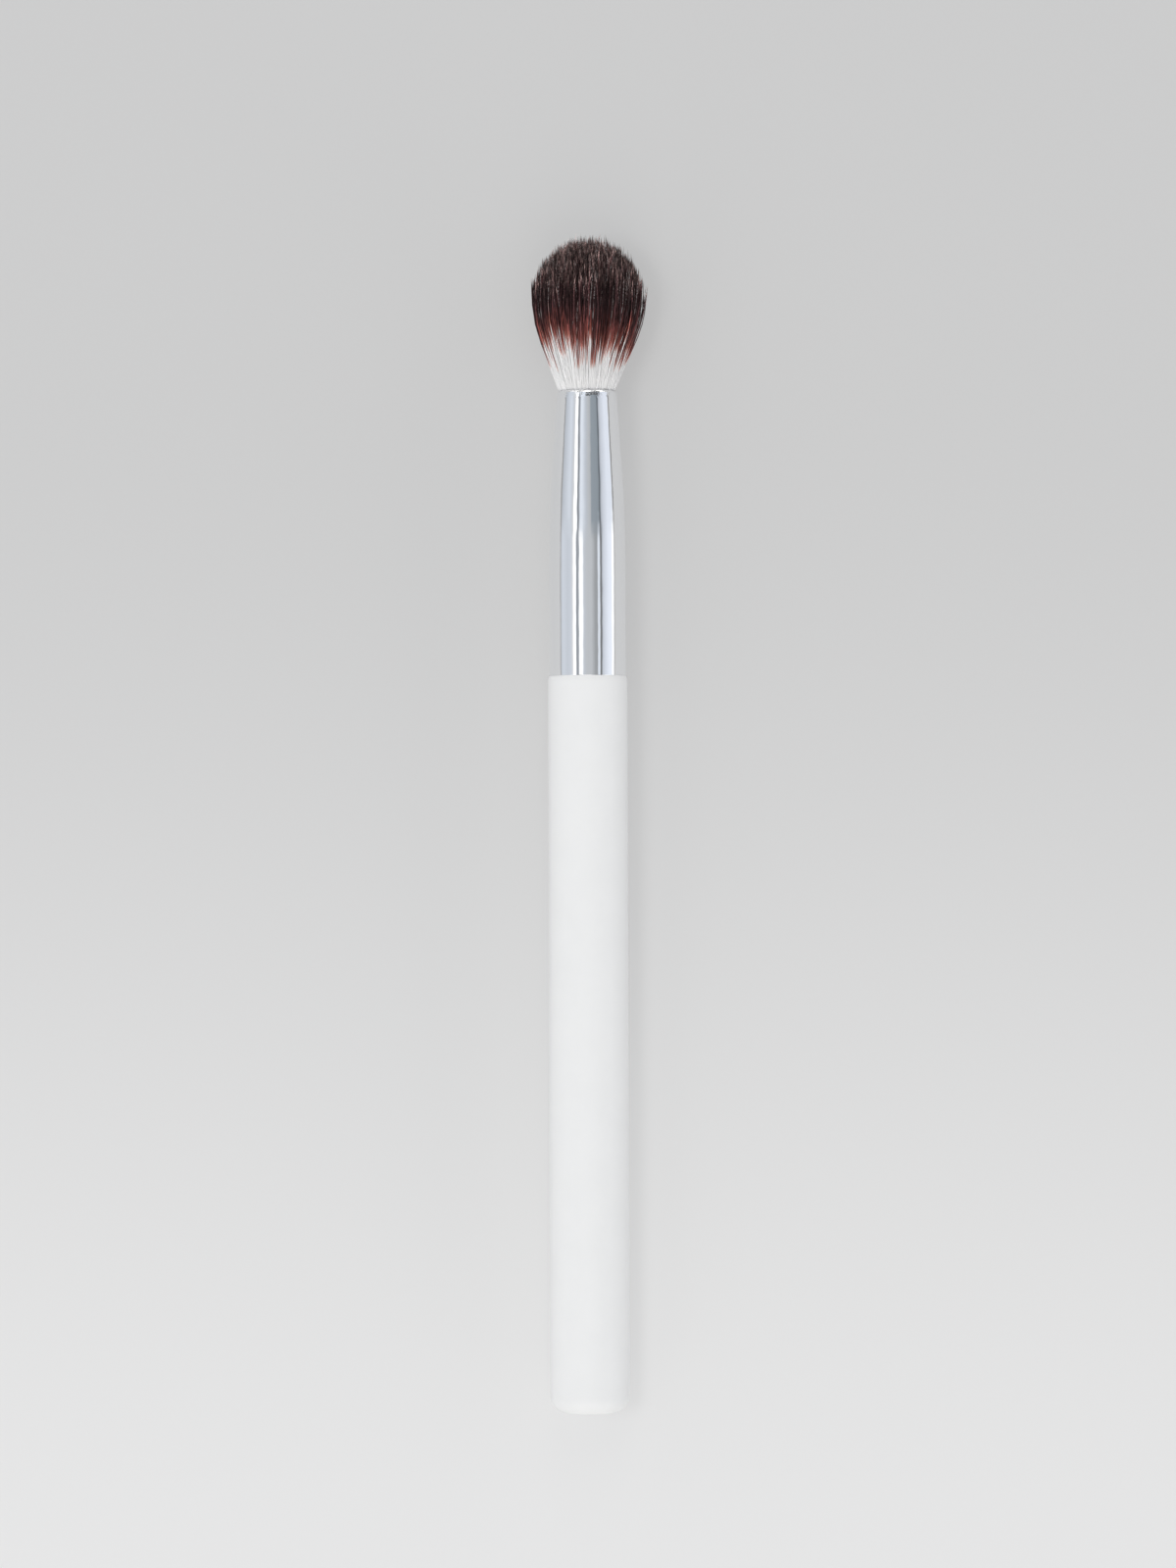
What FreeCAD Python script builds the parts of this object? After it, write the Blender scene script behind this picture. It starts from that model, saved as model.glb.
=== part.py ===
"""A round eyeshadow brush as a parametric document.

The brush lies along +Y with +Z up. The butt's flat face is on the plane y = 0, centred on the origin, and
the tuft points to +Y. A station is a distance along +Y from the butt. Lengths are millimetres and angles
degrees.
"""

import FreeCAD, Part

import math
import os

import Sketcher

from FreeCAD import Vector

FULL_TURN = 360
QUARTERS_PER_TURN = 4
POINTS_PER_ARC = 12

# Driving sizes, each of which can be set by itself
DRIVING_SIZES = {
    # Handle: a turned rod with a rounded butt, a rounded shoulder, and a seat and a tenon for the ferrule
    "handle_diameter": 10.0,
    "handle_length": 92.6,
    "butt_fillet": 2.0,
    "shoulder_fillet": 2.0,
    "tenon_length": 12.0,
    "tenon_chamfer": 0.6,
    # Glue grooves round the tenon, counted from the shoulder
    "groove_offset": 2.4,
    "groove_width": 0.8,
    "groove_depth": 0.3,
    "groove_pitch": 3.0,
    "groove_count": 3,
    # Ferrule: a straight sleeve, a long bend inwards and a cone to the rolled mouth
    "ferrule_step": 0.15,
    "ferrule_wall": 0.3,
    "sleeve_length": 13.2,
    "swage_bend_radius": 200.0,
    "swage_angle": 4.0,
    "cone_length": 8.5,
    # Adhesive film between tenon and ferrule
    "glue_film": 0.1,
    # Tuft: straight roots in the ferrule, a flare above the mouth, a belly and a dome
    "hair_clearance": 0.03,
    "flare_angle": 22.0,
    "belly_bend_radius": 15.0,
    "belly_diameter": 14.2,
    "dome_height": 7.4,
    "root_depth": 12.5,
    # Resin cup that sets the roots
    "resin_floor": 3.0,
    "resin_collar": 1.0,
    # Thread that ties the roots, counted from the resin collar
    "thread_offset": 0.5,
    "thread_diameter": 0.4,
    "thread_gap": 0.45,
    "thread_turns": 5,
    # How far a cut runs past the surface that it opens
    "cut_overrun": 0.5,
}

# Sizes and places that follow from the driving sizes
DERIVED_SIZES = {
    "handle_radius": "handle_diameter / 2",
    "ferrule_radius": "handle_radius - ferrule_step",
    "bore_radius": "ferrule_radius - ferrule_wall",
    "tenon_radius": "bore_radius - glue_film",
    "butt_flat_radius": "handle_radius - butt_fillet",
    # The shoulder's round runs in to the ferrule's outside, where a flat seat carries the ferrule's foot
    "shoulder_centre_radius": "handle_radius - shoulder_fillet",
    "seat_radius": "max(ferrule_radius; shoulder_centre_radius)",
    "seat_reach": "seat_radius - shoulder_centre_radius",
    "shoulder_start": "handle_length - sqrt(shoulder_fillet ^ 2 - seat_reach ^ 2)",
    "tenon_end": "handle_length + tenon_length",
    "tenon_tip_radius": "tenon_radius - tenon_chamfer",
    "tenon_chamfer_start": "tenon_end - tenon_chamfer",
    # First groove, whose row repeats along the tenon
    "groove_start": "handle_length + groove_offset",
    "groove_end": "groove_start + groove_width",
    "groove_floor_radius": "tenon_radius - groove_depth",
    "groove_cut_radius": "tenon_radius + cut_overrun",
    "groove_row_length": "groove_pitch * (groove_count - 1)",
    # Ferrule's outside: both sides of the wall bend about the same far centre
    "sleeve_end": "handle_length + sleeve_length",
    "bend_centre_radius": "ferrule_radius - swage_bend_radius",
    "cone_start": "sleeve_end + swage_bend_radius * sin(swage_angle)",
    "cone_start_radius": "bend_centre_radius + swage_bend_radius * cos(swage_angle)",
    "mouth": "cone_start + cone_length",
    "mouth_radius": "cone_start_radius - cone_length * tan(swage_angle)",
    # Ferrule's bore
    "bore_bend_radius": "swage_bend_radius - ferrule_wall",
    "bore_cone_start": "sleeve_end + bore_bend_radius * sin(swage_angle)",
    "bore_cone_start_radius": "bend_centre_radius + bore_bend_radius * cos(swage_angle)",
    "bore_mouth": "mouth - ferrule_wall * sin(swage_angle)",
    "bore_mouth_radius": "mouth_radius - ferrule_wall * cos(swage_angle)",
    # Rolled lip: a half round as thick as the wall
    "lip_round": "ferrule_wall / 2",
    "lip_top": "mouth + lip_round * (cos(swage_angle) - sin(swage_angle))",
    "lip_top_radius": "mouth_radius - lip_round * (cos(swage_angle) + sin(swage_angle))",
    # Tuft
    "root_radius": "bore_mouth_radius - hair_clearance",
    "root_end": "mouth - root_depth",
    "belly_radius": "belly_diameter / 2",
    "flare_end_radius": "belly_radius - belly_bend_radius * (1 - cos(flare_angle))",
    "flare_end": "mouth + (flare_end_radius - root_radius) / tan(flare_angle)",
    "belly": "flare_end + belly_bend_radius * sin(flare_angle)",
    # The belly's bend runs past the widest place, until a sphere centred on the axis can follow it smoothly
    "belly_centre_offset": "belly_bend_radius - belly_radius",
    "dome_angle": "90 deg - 2 * atan((belly_bend_radius - dome_height) / belly_centre_offset)",
    "dome_foot": "belly + belly_bend_radius * sin(dome_angle)",
    "dome_foot_radius": "belly_bend_radius * cos(dome_angle) - belly_centre_offset",
    "dome_radius": "belly_bend_radius - belly_centre_offset / cos(dome_angle)",
    "tip": "belly + dome_height",
    # Resin cup, which fills the bore where it bends
    "resin_base": "root_end - resin_floor",
    "resin_top": "root_end + resin_collar",
    "resin_base_radius": "bend_centre_radius + sqrt(bore_bend_radius ^ 2 - (resin_base - sleeve_end) ^ 2)",
    "resin_top_radius": "bend_centre_radius + sqrt(bore_bend_radius ^ 2 - (resin_top - sleeve_end) ^ 2)",
    # Thread, along the middle of its section
    "thread_radius": "thread_diameter / 2",
    "thread_pitch": "thread_diameter + thread_gap",
    "thread_start": "resin_top + thread_offset + thread_radius",
    "winding_radius": "root_radius + hair_clearance + thread_radius",
}

doc = FreeCAD.newDocument("eyeshadow_brush")
sheet = doc.addObject("Spreadsheet::Sheet", "sizes")


def fill_sheet():
    """Writes the driving sizes to one column of the sheet and the derived ones to the next."""
    for row, (name, value) in enumerate(DRIVING_SIZES.items(), start=1):
        sheet.set(f"A{row}", str(value))
        sheet.setAlias(f"A{row}", name)
    for row, (name, formula) in enumerate(DERIVED_SIZES.items(), start=1):
        sheet.set(f"B{row}", "=" + formula)
        sheet.setAlias(f"B{row}", name)
    doc.recompute()


def size(name):
    """A size from the sheet, where None stands for zero."""
    return 0.0 if name is None else float(sheet.get(name))


# Turned pieces


def origin_plane(body, role):
    """The body's own origin plane of that role."""
    return next(f for f in body.Origin.OriginFeatures if f.Role == role)


def arc_between(start, end, radius, side):
    """An arc of less than half a turn, whose centre is left (1) or right (-1) of the way to its end."""
    chord = end - start
    rise = math.sqrt(radius**2 - (chord.Length / 2) ** 2)
    centre = (start + end) / 2 + Vector(-chord.y, chord.x, 0).normalize() * side * rise
    first, last = (start, end) if side > 0 else (end, start)
    angles = [math.atan2(p.y - centre.y, p.x - centre.x) for p in (first, last)]
    return Part.ArcOfCircle(Part.Circle(centre, Vector(0, 0, 1), radius), *angles)


def turned_outline(body, name, corners, bends):
    """A closed sketch on the body's XY plane through corners given as (radius, station).

    A radius of None lies on the brush's axis and a station of None on the butt's plane. bends gives, for a
    corner's place in the list, the (radius, side) of the arc that leaves it.
    """
    sketch = body.newObject("Sketcher::SketchObject", name)
    sketch.AttachmentSupport = [(origin_plane(body, "XY_Plane"), "")]
    sketch.MapMode = "FlatFace"
    points = [Vector(size(radius), size(station), 0) for radius, station in corners]
    following = points[1:] + points[:1]
    ends = []
    for index, (start, end) in enumerate(zip(points, following)):
        if index in bends:
            bend, side = bends[index]
            sketch.addGeometry(arc_between(start, end, size(bend), side))
            ends.append((1, 2) if side > 0 else (2, 1))
        else:
            sketch.addGeometry(Part.LineSegment(start, end))
            ends.append((1, 2))
    for index in range(len(points)):
        after = (index + 1) % len(points)
        sketch.addConstraint(Sketcher.Constraint("Coincident", index, ends[index][1], after, ends[after][0]))
    for index, (radius, station) in enumerate(corners):
        place(sketch, index, ends[index][0], "DistanceX", radius)
        place(sketch, index, ends[index][0], "DistanceY", station)
    for index, (bend, _) in bends.items():
        bind(sketch, Sketcher.Constraint("Radius", index, size(bend)), f"bend_{index}", bend)
    return sketch


def place(sketch, index, end, kind, name):
    """Holds an edge's end at a size's distance from the sketch's origin, or on its axis for no size.

    In a sketch's rules, -1 is its X axis, whose first point is the origin, and -2 is its Y axis.
    """
    if name is None:
        axis = -2 if kind == "DistanceX" else -1
        sketch.addConstraint(Sketcher.Constraint("PointOnObject", index, end, axis))
    else:
        rule = Sketcher.Constraint(kind, -1, 1, index, end, size(name))
        bind(sketch, rule, f"{kind}_{index}", name)


def bind(sketch, rule, rule_name, name):
    """Adds a rule to a sketch under a name and ties it to the sheet."""
    number = sketch.addConstraint(rule)
    sketch.renameConstraint(number, rule_name)
    sketch.setExpression(f"Constraints.{rule_name}", f"sizes.{name}")


def turned(body, kind, name, corners, bends):
    """A full turn of an outline about the brush's axis, as a feature that adds or cuts."""
    outline = turned_outline(body, name + "_outline", corners, bends)
    feature = body.newObject(kind, name)
    feature.Profile = outline
    feature.ReferenceAxis = (outline, ["V_Axis"])
    feature.Angle = FULL_TURN
    doc.recompute()
    return feature


def turned_body(name, corners, bends):
    """A body that is one full turn of an outline."""
    body = doc.addObject("PartDesign::Body", name)
    body.Label = name
    turned(body, "PartDesign::Revolution", name + "_turning", corners, bends)
    return body


def groove_row(body, kind, name, inner, outer):
    """The tenon's row of grooves, cut from the body or added to it, between two radii."""
    corners = [(inner, "groove_start"), (outer, "groove_start"), (outer, "groove_end"), (inner, "groove_end")]
    ring = turned(body, kind, name, corners, {})
    row = body.newObject("PartDesign::LinearPattern", name + "_row")
    row.Originals = [ring]
    row.Direction = (ring.Profile[0], ["V_Axis"])
    row.setExpression("Length", "sizes.groove_row_length")
    row.setExpression("Occurrences", "sizes.groove_count")
    body.Tip = row
    doc.recompute()


def make_handle():
    """The turned rod: flat butt, straight grip, rounded shoulder, seat and grooved tenon."""
    corners = [
        (None, None),
        ("butt_flat_radius", None),
        ("handle_radius", "butt_fillet"),
        ("handle_radius", "shoulder_start"),
        ("seat_radius", "handle_length"),
        ("tenon_radius", "handle_length"),
        ("tenon_radius", "tenon_chamfer_start"),
        ("tenon_tip_radius", "tenon_end"),
        (None, "tenon_end"),
    ]
    body = turned_body("handle", corners, {1: ("butt_fillet", 1), 3: ("shoulder_fillet", 1)})
    plain_volume = body.Shape.Volume
    groove_row(body, "PartDesign::Groove", "glue_groove", "groove_floor_radius", "groove_cut_radius")
    groove_area = math.pi * (size("tenon_radius") ** 2 - size("groove_floor_radius") ** 2)
    groove_volume = groove_area * size("groove_width") * size("groove_count")
    print(f"handle grooves: {plain_volume - body.Shape.Volume:.4f} of {groove_volume:.4f} mm3 cut")
    return body


def make_ferrule():
    """The drawn tube: sleeve, bend and cone outside, rolled lip, and the same bends in the bore."""
    corners = [
        ("bore_radius", "handle_length"),
        ("ferrule_radius", "handle_length"),
        ("ferrule_radius", "sleeve_end"),
        ("cone_start_radius", "cone_start"),
        ("mouth_radius", "mouth"),
        ("lip_top_radius", "lip_top"),
        ("bore_mouth_radius", "bore_mouth"),
        ("bore_cone_start_radius", "bore_cone_start"),
        ("bore_radius", "sleeve_end"),
    ]
    bends = {
        2: ("swage_bend_radius", 1),
        4: ("lip_round", 1),
        5: ("lip_round", 1),
        7: ("bore_bend_radius", -1),
    }
    return turned_body("ferrule", corners, bends)


def make_ferrule_glue():
    """The film of adhesive round the tenon, with the rings that fill its grooves."""
    corners = [
        ("tenon_radius", "handle_length"),
        ("bore_radius", "handle_length"),
        ("bore_radius", "tenon_chamfer_start"),
        ("tenon_radius", "tenon_chamfer_start"),
    ]
    body = turned_body("ferrule_glue", corners, {})
    groove_row(body, "PartDesign::Revolution", "glue_ring", "groove_floor_radius", "bore_radius")
    return body


def make_hair_tuft():
    """The bundle of hair: straight roots, a flare from the mouth to the belly, and the dome."""
    corners = [
        (None, "root_end"),
        ("root_radius", "root_end"),
        ("root_radius", "mouth"),
        ("flare_end_radius", "flare_end"),
        ("dome_foot_radius", "dome_foot"),
        (None, "tip"),
    ]
    return turned_body("hair_tuft", corners, {3: ("belly_bend_radius", 1), 4: ("dome_radius", 1)})


def make_root_glue():
    """The resin cup: a floor behind the roots and a collar round their ends, filling the bore."""
    corners = [
        (None, "resin_base"),
        ("resin_base_radius", "resin_base"),
        ("resin_top_radius", "resin_top"),
        ("root_radius", "resin_top"),
        ("root_radius", "root_end"),
        (None, "root_end"),
    ]
    return turned_body("root_glue", corners, {1: ("bore_bend_radius", 1)})


# Thread winding


def winding_point(turns):
    """A point on the thread's middle line, after so many turns."""
    angle = 2 * math.pi * turns
    reach = size("winding_radius")
    climb = size("thread_start") + size("thread_pitch") * turns
    return Vector(reach * math.cos(angle), climb, -reach * math.sin(angle))


def winding_way(turns):
    """The thread's direction there."""
    angle = 2 * math.pi * turns
    pace = 2 * math.pi * size("winding_radius")
    way = Vector(-pace * math.sin(angle), size("thread_pitch"), -pace * math.cos(angle))
    return way.normalize()


def arc_from(start, way, end):
    """The arc that leaves start in a direction and ends at another point."""
    chord = end - start
    across = (chord - way * chord.dot(way)).normalize()
    half_turn = math.atan2(chord.dot(across), chord.dot(way))
    sagitta = chord.Length / 2 * math.tan(half_turn / 2)
    bulge = (way * chord.dot(across) - across * chord.dot(way)).normalize()
    return Part.Arc(start, (start + end) / 2 + bulge * sagitta, end).toShape()


def biarc(start, start_way, end, end_way):
    """Two arcs that join two points in their given directions and meet smoothly."""
    span = end - start
    both = start_way + end_way
    spread = 2 * (1 - start_way.dot(end_way))
    along = span.dot(both)
    reach = (math.sqrt(along**2 + spread * span.dot(span)) - along) / spread
    meeting = (start + end + (start_way - end_way) * reach) / 2
    return [arc_from(start, start_way, meeting), arc_from(end, end_way * -1, meeting)]


def winding_edges():
    """The thread's middle line as two arcs for each quarter turn."""
    count = round(QUARTERS_PER_TURN * size("thread_turns"))
    stops = [index / QUARTERS_PER_TURN for index in range(count + 1)]
    edges = []
    for first, last in zip(stops, stops[1:]):
        ends = winding_point(first), winding_way(first), winding_point(last), winding_way(last)
        edges.extend(biarc(*ends))
    return edges


def least_gap(edges):
    """The least gap between neighbouring turns, measured on points of the thread's middle line."""
    points = [p for edge in edges for p in edge.discretize(POINTS_PER_ARC)]
    half_turn = round(len(points) / size("thread_turns") / 2)
    pairs = ((p, q) for index, p in enumerate(points) for q in points[index + half_turn :])
    return min(p.distanceToPoint(q) for p, q in pairs) - size("thread_diameter")


def make_tuft_binding():
    """The thread wound round the roots, one unbroken tube."""
    edges = winding_edges()
    section = Part.Circle(winding_point(0), winding_way(0), size("thread_radius")).toShape()
    tube = Part.Wire(edges).makePipeShell([Part.Wire(section)], True, False)
    section_area = math.pi * size("thread_radius") ** 2
    swept = section_area * sum(edge.Length for edge in edges)
    print(f"thread winding: least gap {least_gap(edges):.3f} mm, volume {tube.Volume:.4f} of {swept:.4f} mm3")
    piece = doc.addObject("Part::Feature", "tuft_binding")
    piece.Label = "tuft_binding"
    piece.Shape = tube
    piece.Placement = FreeCAD.Placement()
    return piece


fill_sheet()
pieces = [
    make_handle(),
    make_ferrule(),
    make_ferrule_glue(),
    make_hair_tuft(),
    make_root_glue(),
    make_tuft_binding(),
]
doc.recompute()

failed = [o.Name for o in doc.Objects if "Invalid" in o.State or "Error" in o.State]
broken = [p.Label for p in pieces if p.Shape.isNull() or not p.Shape.isValid()]
if failed or broken:
    raise RuntimeError(f"objects that failed: {failed}, pieces with no valid shape: {broken}")

os.makedirs("parts", exist_ok=True)
for piece in pieces:
    piece.Shape.exportStep(f"parts/{piece.Label}.step")
    box = piece.Shape.BoundBox
    print(f"{piece.Label}: {piece.Shape.Volume:.2f} mm3, station {box.YMin:.2f} to {box.YMax:.2f}")
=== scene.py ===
"""Looks of a round eyeshadow brush that lies on its side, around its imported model.

Lengths are in metres. Colours are red, green, blue and opacity, in linear light.
"""

import math

import bpy
import numpy as np
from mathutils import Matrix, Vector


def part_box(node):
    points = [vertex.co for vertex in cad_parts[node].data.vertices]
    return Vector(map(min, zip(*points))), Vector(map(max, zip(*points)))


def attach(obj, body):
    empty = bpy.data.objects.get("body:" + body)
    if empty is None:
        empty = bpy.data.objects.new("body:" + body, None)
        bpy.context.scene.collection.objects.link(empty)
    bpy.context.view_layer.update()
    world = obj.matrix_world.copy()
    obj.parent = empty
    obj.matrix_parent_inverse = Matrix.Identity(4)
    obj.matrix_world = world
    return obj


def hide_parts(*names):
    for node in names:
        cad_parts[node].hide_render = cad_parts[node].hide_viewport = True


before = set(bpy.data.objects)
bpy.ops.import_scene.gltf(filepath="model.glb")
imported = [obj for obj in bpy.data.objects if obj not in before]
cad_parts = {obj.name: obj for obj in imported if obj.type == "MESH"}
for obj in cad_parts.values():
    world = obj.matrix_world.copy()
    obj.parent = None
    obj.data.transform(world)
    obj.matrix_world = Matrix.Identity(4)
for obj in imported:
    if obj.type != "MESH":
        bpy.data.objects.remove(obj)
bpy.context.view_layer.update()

# Places along the brush, from its butt towards its tuft, and radii about its axis
handle_low, handle_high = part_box("handle")
ferrule_low, ferrule_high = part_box("ferrule")
tuft_low, tuft_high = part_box("hair_tuft")
HANDLE_RADIUS = handle_high.x
FERRULE_FOOT = ferrule_low.y
FERRULE_RADIUS = ferrule_high.x
LIP_TOP = ferrule_high.y
ROOT_END = tuft_low.y
TIP = tuft_high.y
BELLY_RADIUS = tuft_high.x

# Handle: its lacquer covers the seat that the ferrule stands on, and ends a little way up the tenon
BUTT_ROUND = 0.002
LACQUER_OVERRUN = 0.0003

# Ferrule: a straight sleeve, a long bend and a cone, of one wall
WALL = 0.0003
SLEEVE_LENGTH = 0.0132
SWAGE_BEND_RADIUS = 0.2
SWAGE_ANGLE = math.radians(4)
FOOT_ROUND = 0.00006
LIP_ROLL = 0.00045
LIP_TURN = math.radians(45)
FERRULE_SIDES = 192
SLEEVE_RINGS = 12
BEND_RINGS = 24
CONE_RINGS = 10
ROUND_RINGS = 8
LIP_RINGS = 14

# Tuft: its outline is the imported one, a little slimmer except where the hairs spill over the lip
FLARE_ANGLE = math.radians(22)
BELLY_BEND_RADIUS = 0.015
DOME_HEIGHT = 0.0074
DOME_REACH = 0.965
BELLY = TIP - DOME_HEIGHT
MOUTH_HAIR_RADIUS = 0.00336
FULLNESS = 0.96
SPILL_RISE = 0.0004
SPILL_LENGTH = 0.003
TUFT_LEAN = 0.0002

# Hairs: how many, how thick, and how they gather into locks, cross over and stand apart
HAIR_COUNT = 8000
LOCK_COUNT = 2700
STRAY_COUNT = 80
HAIR_RADIUS = 0.00006
HAIR_SIDES = 3
HAIR_RINGS = 10
RING_CROWDING = 1.6
TAPER_LENGTH = 0.0022
TAPER_POWER = 0.5
ROOT_JITTER = 0.003
LOCK_JITTER = 0.010
LOCK_LEAN = 0.035
LOCK_PULL = (0.75, 1.0)
LOCK_GATHER = 3.5
CROSSING_GATHER = 1.6
TIP_JITTER = 0.008
CROSSING_SHARE = 0.35
CROSSING_JITTER = 0.18
SWAY = 0.05
SPLAY = 0.012
STRAY_REACH = 0.96
STRAY_SPLAY = (0.04, 0.11)
LONGEST = 0.00018
LOCK_LENGTH_SPREAD = 0.00036
SHORTER_SHAPE = 1.2
SHORTER_SCALE = 0.00075
GOLDEN_ANGLE = math.pi * (3 - math.sqrt(5))
SEARCH_PARTS = 20
SEED = 11

# The tuft's pieces, and the shares of its radius between which their hairs have their roots
TUFT_PIECES = {"inner_hairs": (0.0, 0.58), "middle_hairs": (0.58, 0.82), "outer_hairs": (0.82, 2.0)}

# Hair map: each hair has a lane of the map, for its tone and the level of its white end.
# A higher tone is lighter, and the highest is for the hairs that glint, which get painted glints: grey
# painted highlights in their colour.
# The last share of each lane is for the zone at the hair's tip.
LEVELS = 25
TONES = 5
LANES = LEVELS * TONES
LANE_MARGIN = 0.15
LEVEL_MIDDLE = 14
LEVEL_STEP = 0.00024
COLOURED_TO_ROOT = 0.003
TIP_ZONE = 0.0026
TIP_SHARE = 0.24
BAKE_MAP = "OFBake"

# Which hairs have which lane: where the white of a middling hair ends, and how that and the tone differ
WHITE_END = 0.13345
WHITE_SLANT = 0.0006
LOCK_END_SPREAD = 0.00018
HAIR_END_SPREAD = 0.0008
LOW_SHARE = 0.025
LOW_DROP = (-0.0028, -0.0011)
COLOURED_SHARE = 0.004
COLOURED_REACH = 0.9
STRAY_LEVELS = (2, 11)
TONE_SHARES = (0.36, 0.34, 0.20, 0.10)
TONE_KEPT = 0.4
# The share of hairs that get painted glints, grey painted highlights in their colour
GLINT_SHARE = 0.12

# Hair colours, by the share of the stretch above the white end in which colour turns
TURN_LENGTH = 0.0072
GROWN_COLOURS = [
    (0.0, (0.93, 0.925, 0.925, 1.0)),
    (0.04, (0.83, 0.64, 0.60, 1.0)),
    (0.11, (0.52, 0.21, 0.17, 1.0)),
    (0.21, (0.27, 0.08, 0.064, 1.0)),
    (0.38, (0.132, 0.041, 0.037, 1.0)),
    (0.62, (0.057, 0.0215, 0.022, 1.0)),
    (1.0, (0.035, 0.0165, 0.017, 1.0)),
]
TIP_COLOUR = (0.168, 0.115, 0.107, 1.0)
TIP_COLOUR_PART = 0.9
TIP_COLOUR_REACH = 0.5
# Painted glint: a grey painted highlight, mixed into the colour of glinting hairs in patches of painted
# sheen
PAINTED_GLINT_COLOUR = (0.125, 0.117, 0.116, 1.0)
GLINT_COLOUR_PART = 0.75
HAIR_ROUGHNESS = 0.36
HAIR_SHINE = 0.16

# Hair tones: where they set in, the contrast from one to the next, and the painted sheen in patches
# along a hair, a highlight painted into its colour
TONED_FROM = (0.10, 0.5)
TONE_CONTRAST = 1.85
TIP_CONTRAST = 0.6
TIP_CONTRAST_REACH = 0.4
MIDDLE_TONE = 1.7
GLINT_TONE_DROP = 2
SHEEN_TONES = 1.3
SHEEN_LENGTHS = 38.0
SHEEN_EDGES = (0.35, 0.65)
SHEEN_LANES_APART = 3.7
LANE_SPREAD = 0.12

# Finishes: the size of a noise is in patches to the metre, a stretch has a number for each axis,
# and a relief is a bump's strength and its depth

# Lacquer, and the bare wood of the tenon
LACQUER_DULL = (0.835, 0.838, 0.838, 1.0)
LACQUER_CLEAR = (0.87, 0.872, 0.872, 1.0)
LACQUER_MOTTLES = 260.0
LACQUER_PEEL = 2400.0
PEEL_SHARE = 0.7
RUBBED_LINES = 3000.0
RUBBED_STRETCH = (1.0, 0.1, 1.0)
LACQUER_ROUGHNESS = 0.4
MOTTLE_ROUGHNESS = 0.12
BARE_ROUGHNESS = 0.25
LACQUER_SHINE = 0.7
LACQUER_RELIEF = (0.12, 0.00002)
WOOD_DARK = (0.42, 0.27, 0.15, 1.0)
WOOD_LIGHT = (0.62, 0.45, 0.28, 1.0)
WOOD_GRAIN = 1900.0
WOOD_STRETCH = (1.0, 0.06, 1.0)

# Plating: marks from drawing, soft dents from polishing, and metal worked and rolled in near the lip
PLATING_DULL = (0.92, 0.932, 0.95, 1.0)
PLATING_CLEAR = (0.955, 0.962, 0.975, 1.0)
PLATING_CLOUDS = 420.0
DRAWING_MARKS = 5200.0
DRAWING_STRETCH = (1.0, 0.015, 1.0)
POLISHING_DENTS = 620.0
DENT_STRETCH = (1.0, 0.55, 1.0)
WORKED_DENTS = 3200.0
WORKED_LENGTH = 0.0014
ROLLED_LENGTH = 0.0009
MARK_HEIGHT = 0.14
DENT_HEIGHT = 1.6
WORKED_HEIGHT = 5
ROLLED_HEIGHT = 5
PLATING_ROUGHNESS = 0.012
MARK_ROUGHNESS = 0.025
CLOUD_ROUGHNESS = 0.02
PLATING_RELIEF = (0.5, 0.000022)

# Thread
THREAD_DARK = (0.52, 0.48, 0.41, 1.0)
THREAD_LIGHT = (0.78, 0.75, 0.69, 1.0)
THREAD_PLIES = 1500.0
PLY_WOBBLE = 1.5
THREAD_FUZZ = 9000.0
FUZZ_SHARE = 0.4
THREAD_ROUGHNESS = 0.55
FUZZ_ROUGHNESS = 0.2
THREAD_RELIEF = (0.6, 0.00004)

# Adhesive
ADHESIVE_DARK = (0.66, 0.57, 0.38, 1.0)
ADHESIVE_LIGHT = (0.84, 0.79, 0.64, 1.0)
ADHESIVE_CLOUDS = 700.0
ADHESIVE_BUBBLES = 2600.0
ADHESIVE_ROUGHNESS = 0.15
CLOUDY_ROUGHNESS = 0.2
ADHESIVE_RELIEF = (0.3, 0.00003)

# Resin
RESIN_DARK = (0.36, 0.17, 0.035, 1.0)
RESIN_LIGHT = (0.62, 0.37, 0.12, 1.0)
RESIN_CLOUDS = 520.0
RESIN_RIPPLES = 1400.0
RESIN_ROUGHNESS = 0.12
RIPPLE_ROUGHNESS = 0.18
RESIN_RELIEF = (0.4, 0.00005)

# Table: its tone changes between two places along the brush, a painted light falloff that is lighter
# under the butt, and again far away. Most of its light is its own, a painted glow given as emission.
TABLE_SIZE = 12.0
TABLE_LIGHT = 0.798
TABLE_LIGHT_END = -0.030
TABLE_DARK = 0.612
TABLE_DARK_START = 0.130
TABLE_FAR = 0.70
TABLE_FADE = (0.3, 1.2)
TABLE_GRAIN = 3000.0
TABLE_GRAIN_TONE = 0.9
TABLE_GRAIN_PART = 0.03
TABLE_PAINTED_GLOW = 0.57
TABLE_ROUGHNESS = 0.85

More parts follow.
